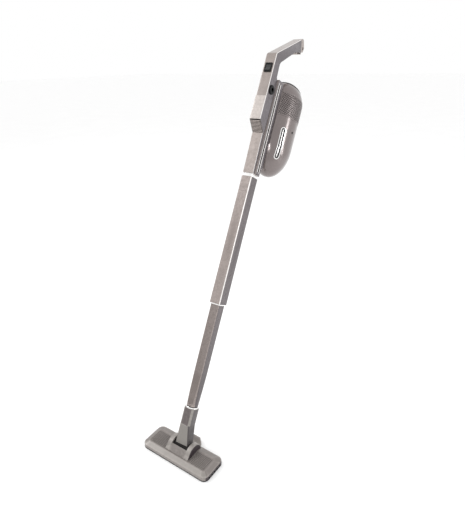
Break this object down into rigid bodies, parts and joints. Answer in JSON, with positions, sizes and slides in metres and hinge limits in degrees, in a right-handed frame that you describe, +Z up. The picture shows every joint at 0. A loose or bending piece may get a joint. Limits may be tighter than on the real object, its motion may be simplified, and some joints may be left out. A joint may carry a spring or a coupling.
{
  "type": "cordless stick vacuum",
  "caption": "Upright stick vacuum with a flat floor head, square telescoping wand, angled grip, and a capsule-shaped motor and dust-cup pod behind the slim body.",
  "frame": {"origin": "centre of the floor head's sole, on the floor", "axes": "+Z up, +Y to the rear (the stick leans back), +X to the vacuum's left-to-right side seen from behind the handle"},
  "size_m": [0.2168, 0.6376, 1.0087],
  "materials": {
    "shell_taupe": "satin metallic taupe",
    "shell_light": "satin light taupe",
    "wand_metal": "satin metallic taupe paint",
    "dark_plastic": "black satin",
    "grey_plastic": "dark grey satin",
    "bright_metal": "polished",
    "steel": "turned steel",
    "brass_pin": "plated contact",
    "rubber_black": "soft black",
    "felt": "napped felt",
    "bristle": "nylon filament",
    "filter_paper": "pleated non-woven",
    "clear": "clear window",
    "cell_wrap": "shrink wrap",
    "board_green": "coated board"
  },
  "bodies": {
    "body": {"body_left": "shell_taupe", "body_right": "shell_taupe", "body_screws": "steel", "connector_tube": "bright_metal", "battery_cover": "shell_light", "louvre_grille": "shell_taupe", "pod_saddle": "shell_taupe", "grip_end_cap": "shell_taupe", "strap_loop": "shell_light", "switch_bezel": "dark_plastic", "rocker_pin": "steel", "inlet_ring": "dark_plastic", "inlet_pin": "brass_pin", "battery_cells": "cell_wrap", "cell_holder": "dark_plastic", "control_board": "board_green", "motor_housing": "shell_taupe", "top_band": "dark_plastic", "motor_can": "steel"},
    "fan": {"motor_shaft": "steel", "impeller": "grey_plastic"},
    "rocker": {"rocker_switch": "dark_plastic"},
    "cup": {"dust_cup": "shell_taupe", "window_lens": "clear", "window_rim": "bright_metal", "filter_frame": "grey_plastic", "filter_pleats": "filter_paper", "cup_gasket": "rubber_black"},
    "cup_release": {"cup_button": "dark_plastic"},
    "upper_tube": {"upper_wand": "wand_metal", "wand_sleeve": "shell_light", "seam_ring": "bright_metal", "upper_guard": "shell_taupe", "upper_spring": "steel"},
    "upper_release": {"upper_button": "dark_plastic"},
    "lower_tube": {"lower_wand": "wand_metal", "lower_guard": "shell_taupe", "lower_spring": "steel"},
    "lower_release": {"lower_button": "dark_plastic"},
    "neck": {"neck_wedge": "shell_taupe", "adaptor_sleeve": "shell_taupe", "chrome_ring": "bright_metal", "swivel_seal": "rubber_black", "swivel_spigot": "steel"},
    "head": {"head_cover": "shell_taupe", "bonnet": "shell_taupe", "sole_plate": "grey_plastic", "bumper_strip": "rubber_black", "lint_strips": "felt", "head_screws": "steel", "tilt_pins": "steel", "pedal_pin": "steel", "roller_axles": "steel"},
    "pedal": {"foot_pedal": "shell_taupe"},
    "brush": {"brush_carrier": "grey_plastic", "bristle_strips": "bristle"},
    "wheel_left": {"roller_left": "rubber_black"},
    "wheel_right": {"roller_right": "rubber_black"}
  },
  "joints": [
    {"name": "fan_spin", "type": "hinge", "parent": "body", "child": "fan", "pos_m": [0, 0.51031, 0.83306], "axis": [0, 0.4608, 0.8875], "continuous": true},
    {"name": "rocker_tilt", "type": "hinge", "parent": "body", "child": "rocker", "pos_m": [0, 0.43227, 0.9395], "axis": [1, 0, 0], "range_deg": [0, 12]},
    {"name": "cup_slide", "type": "slide", "parent": "body", "child": "cup", "axis": [0, -0.4608, -0.8875], "range_m": [0, 0.06]},
    {"name": "cup_button_press", "type": "slide", "parent": "cup", "child": "cup_release", "axis": [-0.9993, 0.0333, -0.0173], "range_m": [0, 0.0011], "stiffness_N_per_m": 400, "springref_m": -0.001},
    {"name": "upper_wand_pull", "type": "slide", "parent": "body", "child": "upper_tube", "axis": [0, -0.4608, -0.8875], "range_m": [0, 0.036]},
    {"name": "upper_button_press", "type": "slide", "parent": "upper_tube", "child": "upper_release", "axis": [0, -0.8875, 0.4608], "range_m": [0, 0.0014], "stiffness_N_per_m": 500, "springref_m": -0.001},
    {"name": "lower_wand_slide", "type": "slide", "parent": "upper_tube", "child": "lower_tube", "axis": [0, 0.4608, 0.8875], "range_m": [-0.038, 0.12]},
    {"name": "lower_button_press", "type": "slide", "parent": "lower_tube", "child": "lower_release", "axis": [0, -0.8875, 0.4608], "range_m": [0, 0.0014], "stiffness_N_per_m": 500, "springref_m": -0.001},
    {"name": "head_swivel", "type": "hinge", "parent": "lower_tube", "child": "neck", "pos_m": [0, 0.00392, 0.0312], "axis": [0, 0.4608, 0.8875], "range_deg": [-80, 80]},
    {"name": "neck_tilt", "type": "hinge", "parent": "neck", "child": "head", "pos_m": [0, 0.008, 0.02], "axis": [1, 0, 0], "range_deg": [-20, 45]},
    {"name": "pedal_rock", "type": "hinge", "parent": "head", "child": "pedal", "pos_m": [0, 0.033, 0.0086], "axis": [1, 0, 0], "range_deg": [-8, 0]},
    {"name": "brush_lift", "type": "slide", "parent": "head", "child": "brush", "axis": [0, 0, 1], "range_m": [0, 0.00254]},
    {"name": "roller_left_spin", "type": "hinge", "parent": "head", "child": "wheel_left", "pos_m": [-0.062, 0.0305, 0.005], "axis": [1, 0, 0], "continuous": true},
    {"name": "roller_right_spin", "type": "hinge", "parent": "head", "child": "wheel_right", "pos_m": [0.062, 0.0305, 0.005], "axis": [1, 0, 0], "continuous": true}
  ],
  "couplings": [
    {"joint": "pedal_rock", "follows": "brush_lift", "rad_per_m": -54.945}
  ]
}
